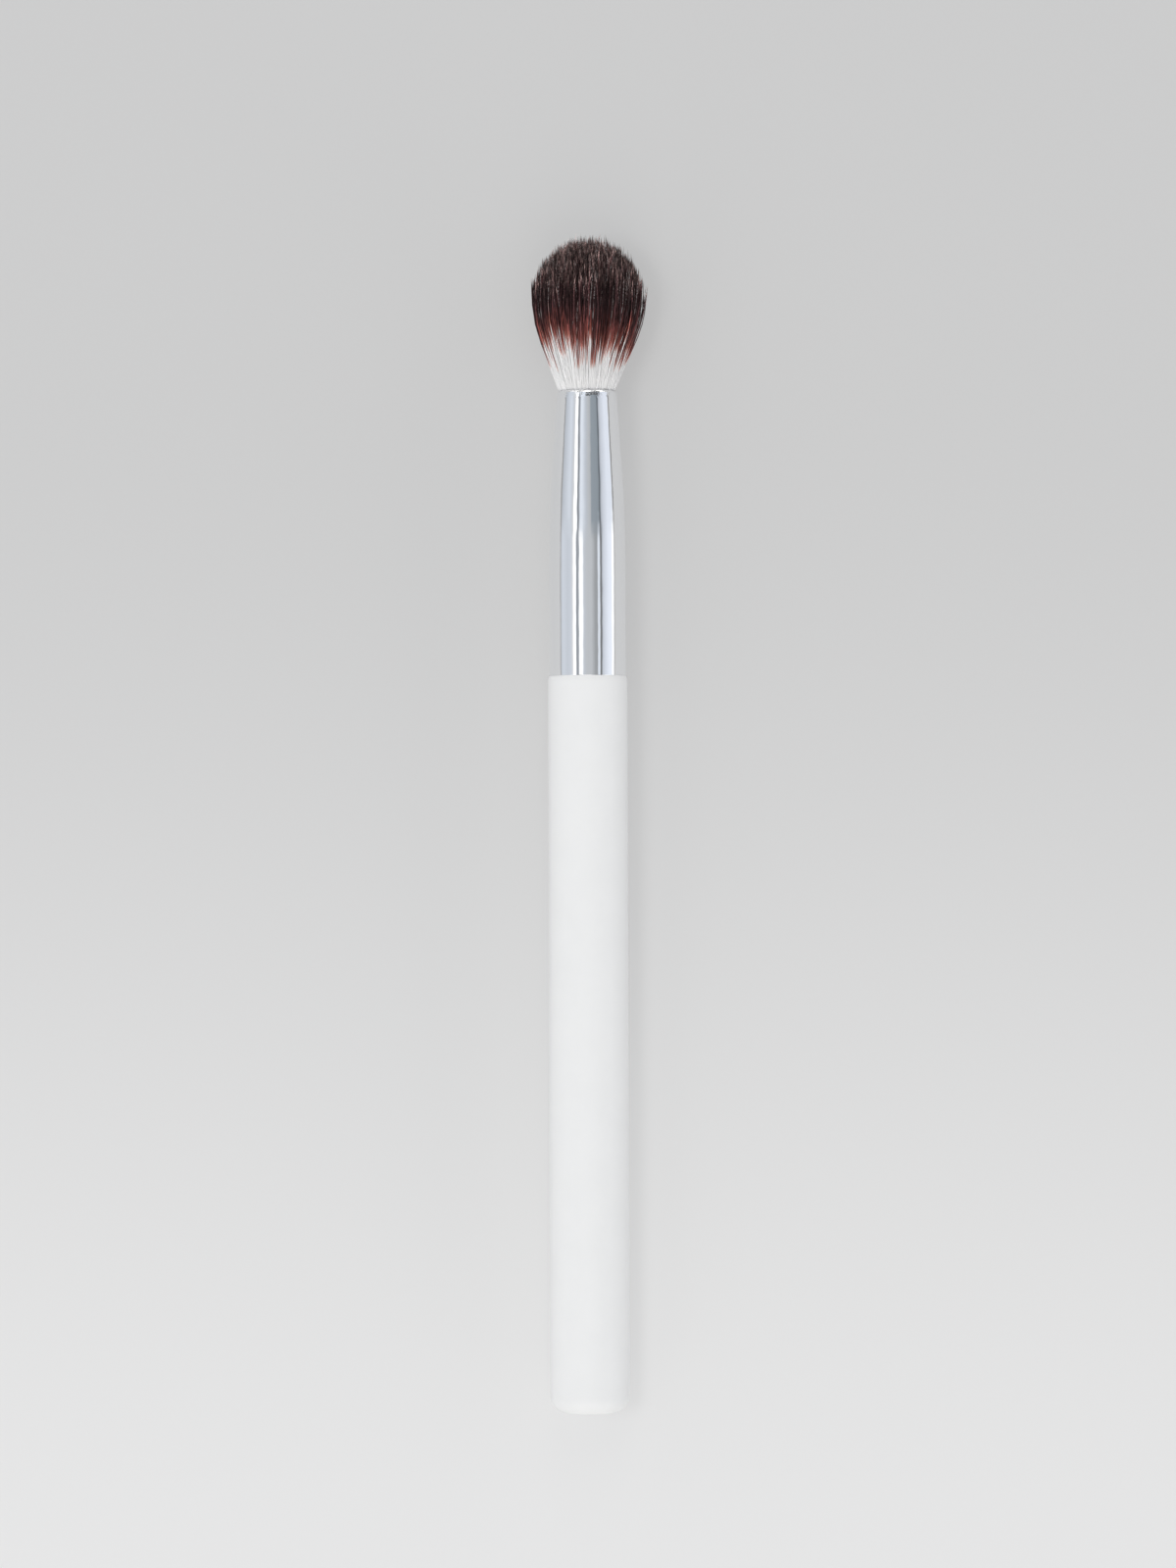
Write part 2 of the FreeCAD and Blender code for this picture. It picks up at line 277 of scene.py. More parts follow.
# Light tent: its strips run along the brush. Each has its degrees from straight up, below 0 to the left,
# its brightness and its tint. The ferrule's sleeve, cone and mouth mirror a part of the tent each,
# and what faces the brush's ends mirrors another.
PLAIN = (1.0, 1.0, 1.0)
BLUISH = (0.945, 1.0, 1.085)
LILAC = (0.95, 1.0, 1.095)
COOL = (0.97, 1.0, 1.035)
TEAL = (0.89, 1.0, 1.10)
WARM = (1.02, 1.0, 0.965)
SLEEVE_TENT = [
    (-91.5, 0.66, PLAIN), (-90.5, 0.40, PLAIN), (-87, 0.40, PLAIN), (-84.5, 0.60, BLUISH),
    (-78, 0.69, BLUISH), (-62, 0.625, BLUISH), (-50, 0.66, BLUISH), (-44.5, 0.75, PLAIN),
    (-43, 1.22, PLAIN), (-35, 1.22, PLAIN), (-34, 0.42, BLUISH), (-30.5, 0.32, BLUISH),
    (-26.5, 0.40, BLUISH), (-24.8, 1.12, PLAIN), (-14, 1.08, PLAIN), (-11, 0.60, BLUISH),
    (-2, 0.555, COOL), (12, 0.545, COOL), (19, 0.45, COOL), (23, 0.37, COOL),
    (30.5, 0.35, COOL), (32.5, 0.80, BLUISH), (38, 0.80, BLUISH), (39.3, 0.20, COOL),
    (43.5, 0.20, COOL), (46.5, 0.60, LILAC), (54, 0.725, LILAC), (67, 0.88, LILAC),
    (78, 0.92, LILAC), (79.5, 1.15, PLAIN), (86, 1.15, PLAIN), (87.5, 0.45, PLAIN),
]
CONE_TENT = [
    (-91.5, 0.66, PLAIN), (-90.5, 0.36, PLAIN), (-85.5, 0.36, PLAIN), (-84, 0.52, BLUISH),
    (-78, 0.57, BLUISH), (-64, 0.69, BLUISH), (-57, 0.74, BLUISH), (-50, 0.64, BLUISH),
    (-43, 0.66, PLAIN), (-41, 1.22, PLAIN), (-32.5, 1.22, PLAIN), (-31, 0.34, BLUISH),
    (-28, 0.27, BLUISH), (-25, 0.38, BLUISH), (-22, 0.82, BLUISH), (-15, 0.80, BLUISH),
    (-9, 0.66, BLUISH), (-3, 0.56, BLUISH), (4, 0.53, COOL), (11, 0.47, COOL),
    (13, 0.34, TEAL), (30, 0.32, TEAL), (36.5, 0.30, TEAL), (38, 0.16, TEAL),
    (41.5, 0.16, TEAL), (43, 0.48, LILAC), (49, 0.64, LILAC), (58, 0.73, LILAC),
    (66, 0.82, LILAC), (83, 0.82, LILAC), (84.5, 0.72, PLAIN), (86, 0.26, PLAIN),
]
MOUTH_TENT = [
    (-91.5, 0.66, PLAIN), (-85, 0.50, BLUISH), (-60, 0.70, BLUISH), (-43, 0.66, PLAIN),
    (-41, 1.22, PLAIN), (-32.5, 1.22, PLAIN), (-31, 0.34, BLUISH), (-25, 0.38, BLUISH),
    (-21, 0.90, BLUISH), (-10, 0.85, BLUISH), (-5, 0.14, COOL), (18, 0.10, COOL),
    (23, 0.34, COOL), (28, 0.12, COOL), (46, 0.15, COOL), (54, 0.60, LILAC),
    (66, 0.80, LILAC), (83, 0.82, LILAC), (86, 0.26, PLAIN),
]
END_TENT = [
    (-96, 0.45, WARM), (-78, 0.55, WARM), (-70, 1.00, PLAIN), (-44, 1.30, WARM),
    (-40, 0.20, WARM), (-24, 0.16, WARM), (-20, 1.50, WARM), (12, 1.50, WARM),
    (16, 0.85, PLAIN), (40, 0.65, PLAIN), (44, 0.18, WARM), (58, 0.16, WARM),
    (62, 1.80, WARM), (80, 1.90, WARM), (84, 0.35, WARM), (91, 0.35, WARM),
]

# How far a ray leans towards the tuft where one part of the tent gives way to the next
CONE_LEAN = (0.075, 0.125)
MOUTH_LEAN = (0.25, 0.31)
TUFT_END_LEAN = (0.46, 0.56)
BUTT_END_LEAN = (-0.30, -0.50)
TUFT_END_LEVEL = 1.05
BUTT_END_LEVEL = 1.2
TENT_POWER = 2.0
BACKDROP = 0.66

# Key light
KEY_PLACE = (-0.23, 0.075, 0.7)
KEY_SIZE = 0.18
KEY_POWER = 0.95

# Where the photograph was taken from
CAMERA_HEIGHT = 0.617
CAMERA_STATION = 0.079
CAMERA_LENS = 112.5
CAMERA_ROLL = math.radians(-0.18)


def grey(level):
    """A colour without a tint."""
    return (level, level, level, 1.0)


class Link:
    """An output of a shader node. Arithmetic on links adds the Math nodes for it."""

    def __init__(self, socket):
        self.socket = socket

    def maths(self, operation, *values):
        return Tree(self.socket.id_data).node("Math", {"operation": operation}, dict(enumerate(values)))

    def output(self, name):
        """Another output of the same node."""
        return Link(self.socket.node.outputs[name])

    def __add__(self, other):
        return self.maths("ADD", self, other)

    def __radd__(self, other):
        return self.maths("ADD", other, self)

    def __sub__(self, other):
        return self.maths("SUBTRACT", self, other)

    def __rsub__(self, other):
        return self.maths("SUBTRACT", other, self)

    def __mul__(self, other):
        return self.maths("MULTIPLY", self, other)

    def __rmul__(self, other):
        return self.maths("MULTIPLY", other, self)

    def __truediv__(self, other):
        return self.maths("DIVIDE", self, other)

    def __rtruediv__(self, other):
        return self.maths("DIVIDE", other, self)

    def __pow__(self, other):
        return self.maths("POWER", self, other)

    def __rpow__(self, other):
        return self.maths("POWER", other, self)

    def __mod__(self, other):
        return self.maths("MODULO", self, other)

    def __gt__(self, other):
        return self.maths("GREATER_THAN", self, other)

    def __lt__(self, other):
        return self.maths("LESS_THAN", self, other)

    def __floor__(self):
        return self.maths("FLOOR", self)


class Tree:
    """The nodes of one finish."""

    def __init__(self, nodes):
        self.nodes = nodes

    def node(self, kind, settings=None, sockets=None, output=0):
        """Adds a node, sets it up, gives its inputs values or links, and returns one of its outputs."""
        made = self.nodes.nodes.new("ShaderNode" + kind)
        for name, value in (settings or {}).items():
            if name == "stops":
                lay_stops(made.color_ramp.elements, value)
            else:
                setattr(made, name, value)
        for name, value in (sockets or {}).items():
            if isinstance(value, Link):
                self.nodes.links.new(value.socket, made.inputs[name])
            else:
                made.inputs[name].default_value = value
        return Link(made.outputs[output]) if made.outputs else None

    def mix(self, factor, first, second, blend="MIX"):
        """Two colours mixed. The node's colour sockets are its inputs 6 and 7 and its output 2."""
        settings = {"data_type": "RGBA", "blend_type": blend}
        return self.node("Mix", settings, {0: factor, 6: first, 7: second}, output=2)

    def dimmed(self, colour, level):
        """A colour times a number that varies."""
        level = self.node("CombineColor", None, {0: level, 1: level, 2: level})
        return self.mix(1.0, colour, level, blend="MULTIPLY")

    def ramp(self, value, stops):
        return self.node("ValToRGB", {"stops": stops}, {"Fac": value})

    def step(self, value, low, high):
        """Changes smoothly from 0 at low to 1 at high, whichever is greater."""
        limits = {"Value": value, "From Min": low, "From Max": high}
        return self.node("MapRange", {"interpolation_type": "SMOOTHSTEP"}, limits)

    def place(self):
        """The place on the piece, in the brush's frame."""
        return self.node("TexCoord").output("Object")

    def station(self, place):
        """How far along the brush a place is."""
        return self.node("SeparateXYZ", None, {0: place}).output("Y")

    def stretched(self, place, scale):
        """A place with each axis scaled by itself."""
        return self.node("VectorMath", {"operation": "MULTIPLY"}, {0: place, 1: scale})

    def noise(self, place, scale, detail=2.0):
        return self.node("TexNoise", None, {"Vector": place, "Scale": scale, "Detail": detail})

    def bump(self, height, strength, distance):
        return self.node("Bump", None, {"Height": height, "Strength": strength, "Distance": distance})

    def surface(self, **sockets):
        """The finish itself. An underline in a socket's name stands for a space."""
        named = {name.replace("_", " "): value for name, value in sockets.items()}
        principled = self.node("BsdfPrincipled", None, named)
        self.node("OutputMaterial", None, {"Surface": principled})


def lay_stops(elements, stops):
    """Sets a colour ramp's stops, which are pairs of a place from 0 to 1 and a colour."""
    while len(elements) < len(stops):
        elements.new(1.0)
    for element, (place, colour) in zip(elements, stops):
        element.position = place
        element.color = colour


def new_finish(name):
    """A new material, and the tree for its nodes."""
    material = bpy.data.materials.new(name)
    material.use_nodes = True
    material.node_tree.nodes.clear()
    return material, Tree(material.node_tree)


def white_lacquer():
    """Matt white lacquer over the turned rod, and bare wood on the tenon that the ferrule hides."""
    material, tree = new_finish("white_lacquer")
    place = tree.place()
    mottle = tree.noise(place, LACQUER_MOTTLES, detail=3.0)
    lacquer = tree.mix(mottle, LACQUER_DULL, LACQUER_CLEAR)
    grain = tree.noise(tree.stretched(place, WOOD_STRETCH), WOOD_GRAIN, detail=4.0)
    wood = tree.mix(grain, WOOD_DARK, WOOD_LIGHT)
    bare = tree.station(place) > FERRULE_FOOT + LACQUER_OVERRUN
    peel = tree.noise(place, LACQUER_PEEL)
    rubbed = tree.noise(tree.stretched(place, RUBBED_STRETCH), RUBBED_LINES)
    height = peel * PEEL_SHARE + rubbed * (1 - PEEL_SHARE)
    tree.surface(
        Base_Color=tree.mix(bare, lacquer, wood),
        Roughness=LACQUER_ROUGHNESS + mottle * MOTTLE_ROUGHNESS + bare * BARE_ROUGHNESS,
        Specular_IOR_Level=LACQUER_SHINE,
        Normal=tree.bump(height, *LACQUER_RELIEF),
    )
    return material


def bright_plating():
    """Polished plating: a mirror with fine marks along the tube and soft dents, rolled in at the lip."""
    material, tree = new_finish("bright_plating")
    place = tree.place()
    station = tree.station(place)
    marks = tree.noise(tree.stretched(place, DRAWING_STRETCH), DRAWING_MARKS, detail=3.0)
    cloud = tree.noise(place, PLATING_CLOUDS, detail=3.0)
    dents = tree.noise(tree.stretched(place, DENT_STRETCH), POLISHING_DENTS, detail=1.0)
    worked = tree.step(station, LIP_TOP - WORKED_LENGTH, LIP_TOP) * tree.noise(place, WORKED_DENTS)
    rolled = tree.step(station, LIP_TOP - ROLLED_LENGTH, LIP_TOP)
    height = dents * DENT_HEIGHT + marks * MARK_HEIGHT + worked * WORKED_HEIGHT - rolled * ROLLED_HEIGHT
    tree.surface(
        Base_Color=tree.mix(marks, PLATING_DULL, PLATING_CLEAR),
        Metallic=1.0,
        Roughness=PLATING_ROUGHNESS + marks * MARK_ROUGHNESS + cloud * CLOUD_ROUGHNESS,
        Normal=tree.bump(height, *PLATING_RELIEF),
    )
    return material


def brush_hair():
    """Hair that is white at the roots, auburn above them and dark brown to its lighter tips, with
    painted sheen and painted grey glints in patches along it.

    The map's first number is the hair's lane, which tells its tone and how high its white part reaches.
    The second runs along the hair, and its last share is kept for the tip.
    """
    material, tree = new_finish("brush_hair")
    spot = tree.node("SeparateXYZ", None, {0: tree.node("UVMap", {"uv_map": BAKE_MAP})})
    along = spot.output("Y")
    lane = math.floor(spot * LANES)
    level = math.floor(lane / TONES)
    tone = lane % TONES

    # Colour along the hair
    station = along * ((TIP - ROOT_END) / (1 - TIP_SHARE))
    lowest = level < 0.5
    white_end = (level - LEVEL_MIDDLE) * LEVEL_STEP - lowest * COLOURED_TO_ROOT
    turned_share = (station - white_end - (WHITE_END - ROOT_END)) / TURN_LENGTH
    grown = tree.ramp(turned_share, GROWN_COLOURS)
    at_tip = tree.step(along, 1 - TIP_SHARE * TIP_COLOUR_REACH, 1.0)
    coloured = tree.mix(at_tip * TIP_COLOUR_PART, grown, TIP_COLOUR)

    # Painted sheen in patches along the hairs, and painted glints, grey painted highlights, on the hairs
    # that glint
    toned = tree.step(turned_share, *TONED_FROM)
    patch = tree.node("CombineXYZ", None, {0: lane * SHEEN_LANES_APART, 1: along * SHEEN_LENGTHS})
    painted_sheen = tree.step(tree.noise(patch, 1.0, detail=1.0), *SHEEN_EDGES)
    glinting = tone > TONES - 1.5
    painted_glint = glinting * toned * painted_sheen
    with_painted_glints = tree.mix(painted_glint * GLINT_COLOUR_PART, coloured, PAINTED_GLINT_COLOUR)

    # Brightness by tone, raised where the painted sheen falls
    near_tip = tree.step(along, 1 - TIP_SHARE, 1 - TIP_SHARE * TIP_CONTRAST_REACH)
    contrast = TONE_CONTRAST + near_tip * TIP_CONTRAST
    lighter = tone - glinting * GLINT_TONE_DROP - MIDDLE_TONE + painted_sheen * SHEEN_TONES
    chance = tree.node("TexWhiteNoise", {"noise_dimensions": "1D"}, {"W": lane})
    brightness = 1 + toned * (contrast ** lighter - 1) + (chance - 0.5) * LANE_SPREAD
    tree.surface(
        Base_Color=tree.dimmed(with_painted_glints, brightness),
        Roughness=HAIR_ROUGHNESS,
        Specular_IOR_Level=HAIR_SHINE,
    )
    return material


def binding_thread():
    """Waxed off-white thread, twisted from plies."""
    material, tree = new_finish("binding_thread")
    place = tree.place()
    fuzz = tree.noise(place, THREAD_FUZZ, detail=3.0)
    settings = {"wave_type": "BANDS", "bands_direction": "DIAGONAL"}
    sockets = {"Vector": place, "Scale": THREAD_PLIES, "Distortion": PLY_WOBBLE}
    plies = tree.node("TexWave", settings, sockets, output=1)
    worn = plies * (1 - FUZZ_SHARE) + fuzz * FUZZ_SHARE
    tree.surface(
        Base_Color=tree.mix(worn, THREAD_DARK, THREAD_LIGHT),
        Roughness=THREAD_ROUGHNESS + fuzz * FUZZ_ROUGHNESS,
        Normal=tree.bump(plies + fuzz * FUZZ_SHARE, *THREAD_RELIEF),
    )
    return material


def clear_adhesive():
    """Hardened adhesive, pale yellow with cloudy patches and small bubbles."""
    material, tree = new_finish("clear_adhesive")
    place = tree.place()
    cloud = tree.noise(place, ADHESIVE_CLOUDS, detail=4.0)
    bubbles = tree.node("TexVoronoi", None, {"Vector": place, "Scale": ADHESIVE_BUBBLES})
    tree.surface(
        Base_Color=tree.mix(cloud, ADHESIVE_DARK, ADHESIVE_LIGHT),
        Roughness=ADHESIVE_ROUGHNESS + cloud * CLOUDY_ROUGHNESS,
        Normal=tree.bump(bubbles, *ADHESIVE_RELIEF),
    )
    return material


def amber_resin():
    """Hardened amber resin, with darker clouds and a rippled skin."""
    material, tree = new_finish("amber_resin")
    place = tree.place()
    cloud = tree.noise(place, RESIN_CLOUDS, detail=4.0)
    ripple = tree.noise(place, RESIN_RIPPLES)
    tree.surface(
        Base_Color=tree.mix(cloud, RESIN_DARK, RESIN_LIGHT),
        Roughness=RESIN_ROUGHNESS + ripple * RIPPLE_ROUGHNESS,
        Normal=tree.bump(ripple, *RESIN_RELIEF),
    )
    return material


def pale_table():
    """A matt pale table with a painted light falloff, a little lighter under the butt than past the
    tuft, and a painted glow of its own.
    """
    material, tree = new_finish("pale_table")
    place = tree.place()
    # Painted light falloff: lighter under the butt than past the tuft
    lighter = 1 - tree.step(tree.station(place), TABLE_LIGHT_END, TABLE_DARK_START)
    plain = tree.mix(lighter, grey(TABLE_DARK), grey(TABLE_LIGHT))
    grain = tree.noise(place, TABLE_GRAIN)
    grained = tree.mix(grain * TABLE_GRAIN_PART, plain, grey(TABLE_GRAIN_TONE))
    away = tree.node("VectorMath", {"operation": "LENGTH"}, {0: place}, output=1)
    tone = tree.mix(tree.step(away, *TABLE_FADE), grained, grey(TABLE_FAR))
    tree.surface(
        # Painted glow: the table lights itself by emission, and its base colour is dimmed by as much
        Base_Color=tree.mix(1.0, tone, grey(1 - TABLE_PAINTED_GLOW), blend="MULTIPLY"),
        Roughness=TABLE_ROUGHNESS,
        Specular_IOR_Level=0.0,
        Emission_Color=tone,
        Emission_Strength=TABLE_PAINTED_GLOW,
    )
    return material


def new_piece(name, mesh, finish, node):
    """An object of the brush: its finish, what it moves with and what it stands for."""
    piece = bpy.data.objects.new(name, mesh)
    bpy.context.scene.collection.objects.link(piece)
    mesh.materials.append(finish)
    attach(piece, "root")
    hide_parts(node)


def arc(centre, radius, start, end, count):
    """Points (radius about the axis, station) on an arc. Its angles are measured from outwards."""
    angles = np.linspace(start, end, count)
    return [(centre[0] + radius * math.cos(a), centre[1] + radius * math.sin(a)) for a in angles]


def straight(first, last, count):
    """Points from first towards last, which is left to the next stretch."""
    shares = np.linspace(0, 1, count, endpoint=False)
    return [tuple(np.add(first, np.subtract(last, first) * share)) for share in shares]


def rolled_lip(cone_start):
    """The lip past the cone: it rolls in over a wide round, and a fine one leads to the bore."""
    rolled = math.cos(LIP_TURN - SWAGE_ANGLE)
    fine_round = (WALL - LIP_ROLL * (1 - rolled)) / (1 + rolled)
    to_fine = LIP_ROLL - fine_round
    roll_station = LIP_TOP - to_fine * math.sin(LIP_TURN) - fine_round
    cone_length = roll_station + LIP_ROLL * math.sin(SWAGE_ANGLE) - cone_start[1]
    cone_end_radius = cone_start[0] - cone_length * math.tan(SWAGE_ANGLE)
    roll_radius = cone_end_radius - LIP_ROLL * math.cos(SWAGE_ANGLE)
    roll = arc((roll_radius, roll_station), LIP_ROLL, SWAGE_ANGLE, LIP_TURN, LIP_RINGS)
    fine_radius = roll_radius + to_fine * math.cos(LIP_TURN)
    fine_station = roll_station + to_fine * math.sin(LIP_TURN)
    fine = arc((fine_radius, fine_station), fine_round, LIP_TURN, SWAGE_ANGLE + math.pi, ROUND_RINGS)
    return roll + fine[1:]


def ferrule_outline():
    """The ferrule's wall as a closed loop: its foot, up the outside, over the lip and down the bore."""
    sleeve_end = FERRULE_FOOT + SLEEVE_LENGTH
    bend_centre = (FERRULE_RADIUS - SWAGE_BEND_RADIUS, sleeve_end)
    bore_radius = FERRULE_RADIUS - WALL
    outside_bend = arc(bend_centre, SWAGE_BEND_RADIUS, 0, SWAGE_ANGLE, BEND_RINGS)
    bore_bend = arc(bend_centre, SWAGE_BEND_RADIUS - WALL, SWAGE_ANGLE, 0, BEND_RINGS)
    cone_start = outside_bend[-1]
    lip = rolled_lip(cone_start)
    outer_edge = (FERRULE_RADIUS - FOOT_ROUND, FERRULE_FOOT + FOOT_ROUND)
    inner_edge = (bore_radius + FOOT_ROUND, FERRULE_FOOT + FOOT_ROUND)
    foot = arc(inner_edge, FOOT_ROUND, -math.pi, -math.pi / 2, ROUND_RINGS)
    foot += arc(outer_edge, FOOT_ROUND, -math.pi / 2, 0, ROUND_RINGS)
    outside = straight(foot[-1], outside_bend[0], SLEEVE_RINGS)[1:] + outside_bend
    outside += straight(cone_start, lip[0], CONE_RINGS)[1:]
    bore = straight(lip[-1], bore_bend[0], CONE_RINGS)[1:] + bore_bend
    bore += straight(bore_bend[-1], foot[0], SLEEVE_RINGS)[1:]
    return foot + outside + lip + bore


def turned(name, outline, sides):
    """A mesh turned from a closed outline about the brush's axis."""
    angles = np.arange(sides) * (2 * math.pi / sides)
    outline = np.array(outline)
    points = np.empty((len(outline), sides, 3))
    points[:, :, 0] = outline[:, :1] * np.cos(angles)
    points[:, :, 1] = outline[:, 1:]
    points[:, :, 2] = outline[:, :1] * np.sin(angles)
    ring, side = np.indices((len(outline), sides))
    next_ring = (ring + 1) % len(outline)
    next_side = (side + 1) % sides
    corners = (
        ring * sides + side,
        next_ring * sides + side,
        next_ring * sides + next_side,
        ring * sides + next_side,
    )
    faces = np.stack(corners, axis=-1).reshape(-1, 4)
    mesh = bpy.data.meshes.new(name)
    mesh.from_pydata(points.reshape(-1, 3).tolist(), [], faces.tolist())
    mesh.shade_smooth()
    return mesh


def disc_places(count):
    """Places spread evenly on a disc of radius 1, like a sunflower's seeds."""
    rank = np.arange(count) + 0.5
    reach = np.sqrt(rank / count)
    return np.column_stack((reach * np.cos(rank * GOLDEN_ANGLE), reach * np.sin(rank * GOLDEN_ANGLE)))


def tuft_radius(station):
    """The tuft's radius at a station: the roots in the ferrule, the flare, its bend and the belly."""
    bend_start = BELLY - BELLY_BEND_RADIUS * math.sin(FLARE_ANGLE)
    bend_radius = BELLY_RADIUS - BELLY_BEND_RADIUS * (1 - math.cos(FLARE_ANGLE))
    flare = bend_radius - (bend_start - station) * math.tan(FLARE_ANGLE)
    past = np.clip(station, bend_start, BELLY) - BELLY
    bend = BELLY_RADIUS - BELLY_BEND_RADIUS + np.sqrt(BELLY_BEND_RADIUS ** 2 - past ** 2)
    spill = np.exp(-np.maximum(station - LIP_TOP, 0) / SPILL_LENGTH) * (station > LIP_TOP)
    fullness = FULLNESS + (1 - FULLNESS) * spill
    return np.maximum(np.where(station < bend_start, flare, bend) * fullness, MOUTH_HAIR_RADIUS)


def dome(reach):
    """The station of the dome's skin, at a share of the belly's radius."""
    return BELLY + DOME_HEIGHT * np.sqrt(np.clip(1 - (reach * DOME_REACH) ** 2, 0, 1))


def hair_paths(rng, roots, tips, longer, splay, gather):
    """The hairs' middle lines, (hair, ring, axis), from their places on the disc at both ends."""
    ends = dome(np.hypot(*tips.T)) + longer
    shares = 1 - (1 - np.linspace(0, 1, HAIR_RINGS - 2)) ** RING_CROWDING
    spill_end = LIP_TOP + SPILL_RISE
    stations = np.empty((len(roots), HAIR_RINGS))
    stations[:, 0] = ROOT_END
    stations[:, 1] = LIP_TOP
    stations[:, 2:] = spill_end + (ends[:, None] - spill_end) * shares
    grown = np.concatenate(([0, 0], shares))[None, :, None]
    sway = rng.normal(0, SWAY, (len(roots), 1, 2))
    gathered = (tips - roots)[:, None, :] * grown ** gather[:, None, None]
    places = roots[:, None, :] + gathered + sway * grown * (1 - grown)
    places *= 1 + splay[:, None, None] * grown
    spread = places * tuft_radius(stations)[:, :, None]
    spread[:, :, 0] += TUFT_LEAN * grown[:, :, 0] ** 2
    return np.stack((spread[:, :, 0], stations, spread[:, :, 1]), axis=2)


def hair_skins(paths, to_tip, spin):
    """The points of tapered hairs, (hair, point, axis): rings about their middle lines, then tips."""
    along = np.gradient(paths, axis=1)
    along /= np.linalg.norm(along, axis=2, keepdims=True)
    first = np.cross(along, (1.0, 0.0, 0.0))
    first /= np.linalg.norm(first, axis=2, keepdims=True)
    second = np.cross(along, first)
    taper = np.clip(to_tip / TAPER_LENGTH, 0, 1) ** TAPER_POWER
    thickness = HAIR_RADIUS * taper[:, :-1, None, None]
    angle = spin[:, None, None] + np.arange(HAIR_SIDES) * (2 * math.pi / HAIR_SIDES)
    way = first[:, :-1, None] * np.cos(angle)[..., None]
    way = way + second[:, :-1, None] * np.sin(angle)[..., None]
    rings = paths[:, :-1, None] + thickness * way
    return np.concatenate((rings.reshape(len(paths), -1, 3), paths[:, -1:]), axis=1)


def hair_faces():
    """One hair's faces, and for each of their corners its place across the lane and its ring."""
    faces = []
    corners = []
    last_ring = HAIR_RINGS - 2
    tip = (last_ring + 1) * HAIR_SIDES
    for ring in range(last_ring):
        for side in range(HAIR_SIDES):
            here = ring * HAIR_SIDES + side
            beside = ring * HAIR_SIDES + (side + 1) % HAIR_SIDES
            faces.append((here, beside, beside + HAIR_SIDES, here + HAIR_SIDES))
            corners += [(0, ring), (1, ring), (1, ring + 1), (0, ring + 1)]
    last = last_ring * HAIR_SIDES
    for side in range(HAIR_SIDES):
        faces.append((last + side, last + (side + 1) % HAIR_SIDES, tip))
        corners += [(0, last_ring), (1, last_ring), (0.5, last_ring + 1)]
    faces.append(tuple(reversed(range(HAIR_SIDES))))
    corners += [(0, 0), (1, 0), (0.5, 1)]
    return faces, np.array(corners)


def hair_mesh(name, paths, lanes, spin):
    """Closed hairs along their middle lines, with the map that their colour follows."""
    to_tip = np.linalg.norm(paths[:, -1:] - paths, axis=2)
    points = hair_skins(paths, to_tip, spin)
    faces, corners = hair_faces()
    starts = (np.arange(len(paths)) * points.shape[1]).tolist()
    all_faces = [[corner + start for corner in face] for start in starts for face in faces]
    mesh = bpy.data.meshes.new(name)
    mesh.from_pydata(points.reshape(-1, 3).tolist(), [], all_faces)

    station_share = (paths[:, :, 1] - ROOT_END) / (TIP - ROOT_END)
    near_tip = 1 - TIP_SHARE * to_tip / TIP_ZONE
    height = np.where(to_tip < TIP_ZONE, near_tip, (1 - TIP_SHARE) * station_share)
    across = LANE_MARGIN + (1 - 2 * LANE_MARGIN) * corners[:, 0]
    uv = np.empty((len(paths), len(corners), 2))
    uv[:, :, 0] = (lanes[:, None] + across) / LANES
    uv[:, :, 1] = height[:, corners[:, 1].astype(int)]
    mesh.uv_layers.new(name=BAKE_MAP).uv.foreach_set("vector", uv.astype(np.float32).ravel())
    mesh.shade_smooth()
    return mesh


def hair_lanes(rng, roots, lock, stray):
    """Each hair's lane of the map: its tone, and how high its white part reaches."""
    count = len(roots)
    white_end = rng.normal(0, LOCK_END_SPREAD, LOCK_COUNT)[lock] + rng.normal(0, HAIR_END_SPREAD, count)
    white_end -= WHITE_SLANT * roots[:, 0]
    low = rng.random(count) < LOW_SHARE
    white_end[low] = rng.uniform(*LOW_DROP, count)[low]
    level = np.clip(np.round(LEVEL_MIDDLE + white_end / LEVEL_STEP), 1, LEVELS - 1)
    outer = np.hypot(*roots.T) > COLOURED_REACH
    level[outer & (rng.random(count) < COLOURED_SHARE)] = 0
    level[stray] = rng.integers(*STRAY_LEVELS, len(stray))
    tone = rng.choice(TONES - 1, count, p=TONE_SHARES)
    lock_tone = rng.choice(TONES - 1, LOCK_COUNT, p=TONE_SHARES)[lock]
    tone = np.where(rng.random(count) < TONE_KEPT, lock_tone, tone)
    tone[rng.random(count) < GLINT_SHARE] = TONES - 1
    return level * TONES + tone


def nearest_lock(roots, locks):
    """The lock that each hair is nearest to, found for a part of the hairs at a time to spare memory."""
    parts = np.array_split(roots, SEARCH_PARTS)
    apart = [((part[:, None, :] - locks[None, :, :]) ** 2).sum(axis=2).argmin(axis=1) for part in parts]
    return np.concatenate(apart)


